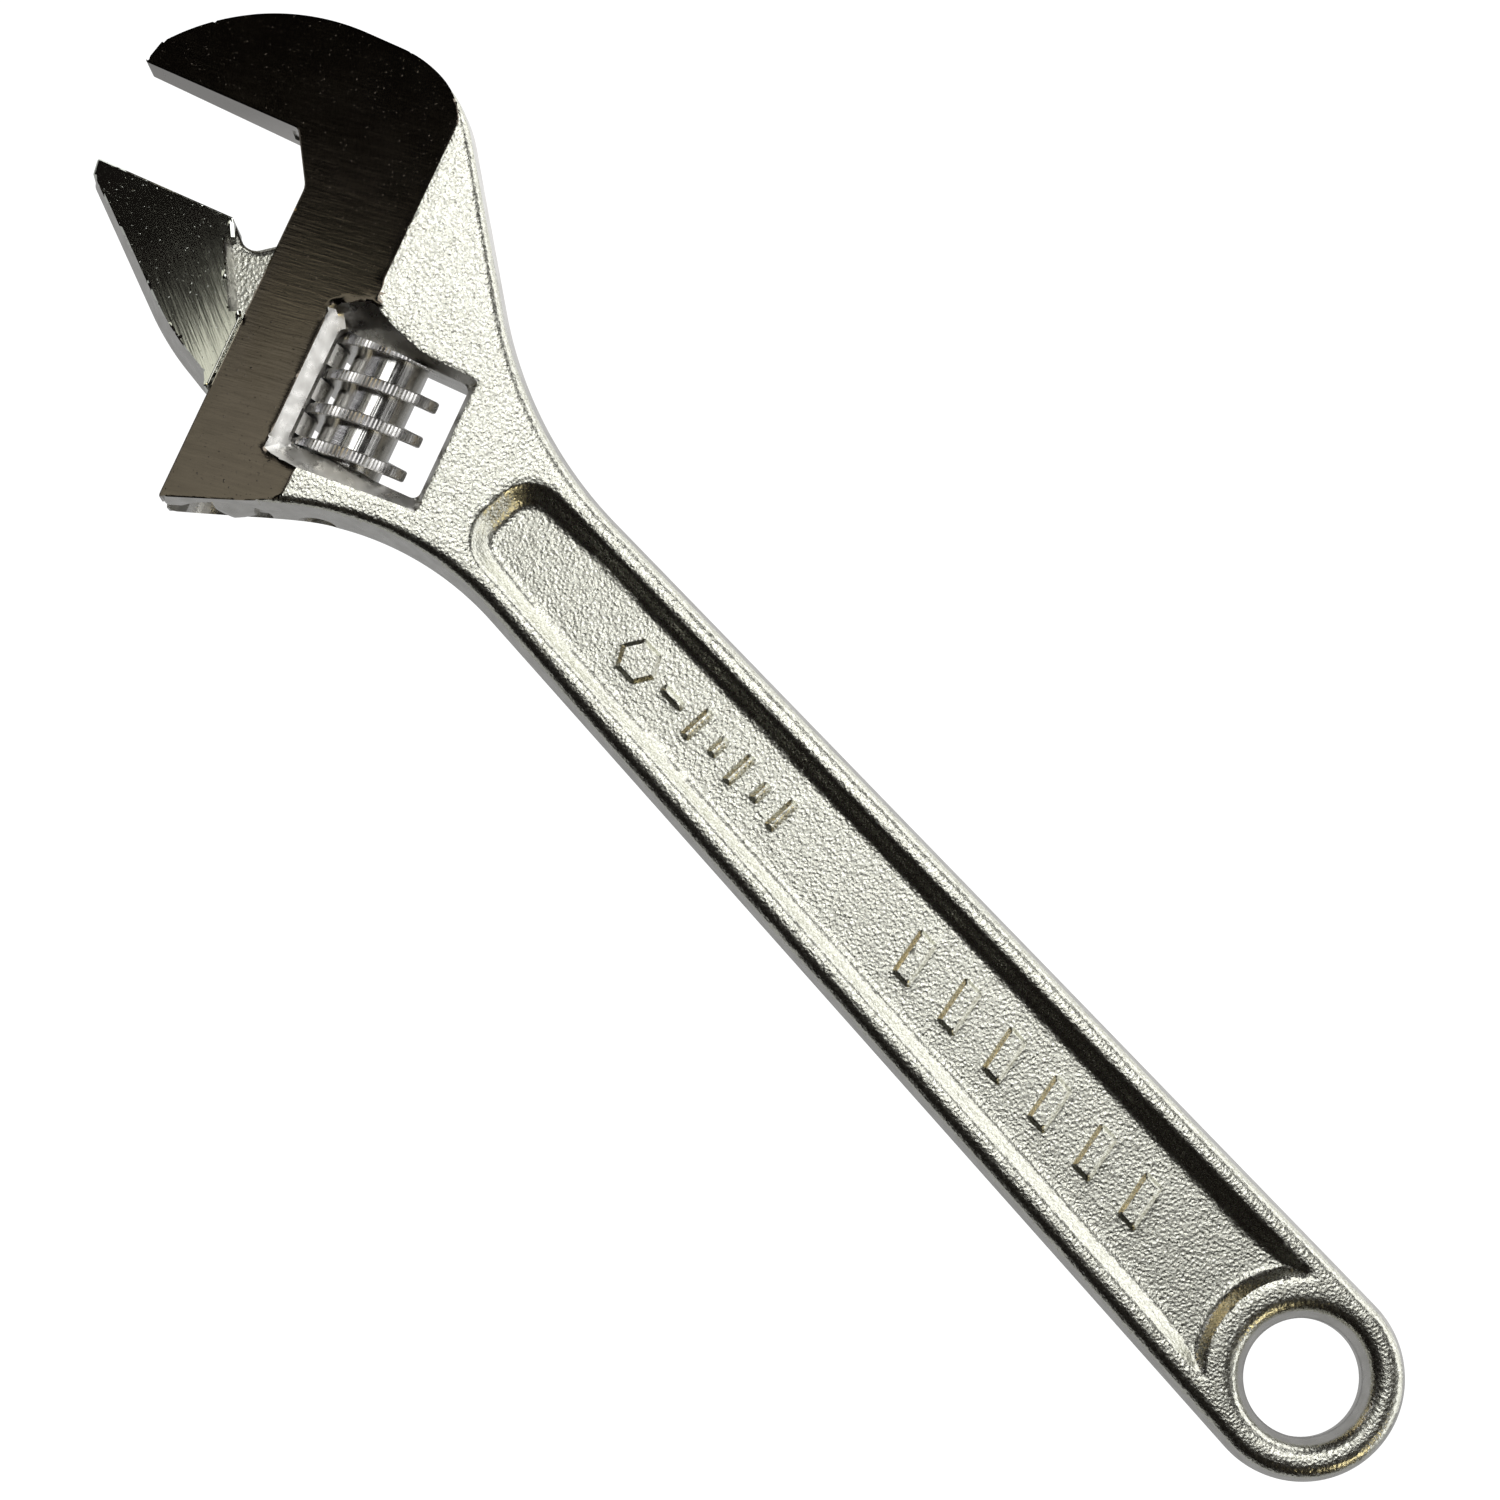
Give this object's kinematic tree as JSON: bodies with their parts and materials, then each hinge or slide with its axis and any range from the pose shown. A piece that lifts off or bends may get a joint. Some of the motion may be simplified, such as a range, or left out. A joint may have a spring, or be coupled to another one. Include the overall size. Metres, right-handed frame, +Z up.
{
  "type": "adjustable wrench",
  "caption": "Adjustable wrench with an offset head: a worm in a window drives a toothed rack that slides the movable jaw against the fixed jaw; hang hole in the handle.",
  "frame": {"origin": "centre of the hang hole at mid-thickness", "axes": "+X along the handle to the jaws, +Y to the side of the movable jaw, +Z up with the wrench lying flat"},
  "size_m": [0.2045, 0.0546, 0.0142],
  "materials": {
    "body": "grainy satin chrome on the forged surfaces, polished ground faces on the head",
    "jaw": "polished ground faces with fine grinding lines, satin edges",
    "worm": "bright turned chrome with finely serrated crests",
    "pin": "plain turned steel",
    "spring": "drawn spring wire"
  },
  "bodies": {
    "body": {"body": "body", "worm_pin": "pin", "worm_spring": "spring"},
    "movable_jaw": {"movable_jaw": "jaw"},
    "worm": {"worm": "worm"}
  },
  "joints": [
    {"name": "jaw_slide", "type": "slide", "parent": "body", "child": "movable_jaw", "axis": [-0.3827, 0.9239, 0], "range_m": [-0.01195, 0.0125]},
    {"name": "worm_spin", "type": "hinge", "parent": "body", "child": "worm", "pos_m": [0.1473, 0.00305, 0], "axis": [0.3827, -0.9239, 0], "range_deg": [-1030, 1080]}
  ],
  "couplings": [
    {"joint": "worm_spin", "follows": "jaw_slide", "rad_per_m": 1496}
  ]
}
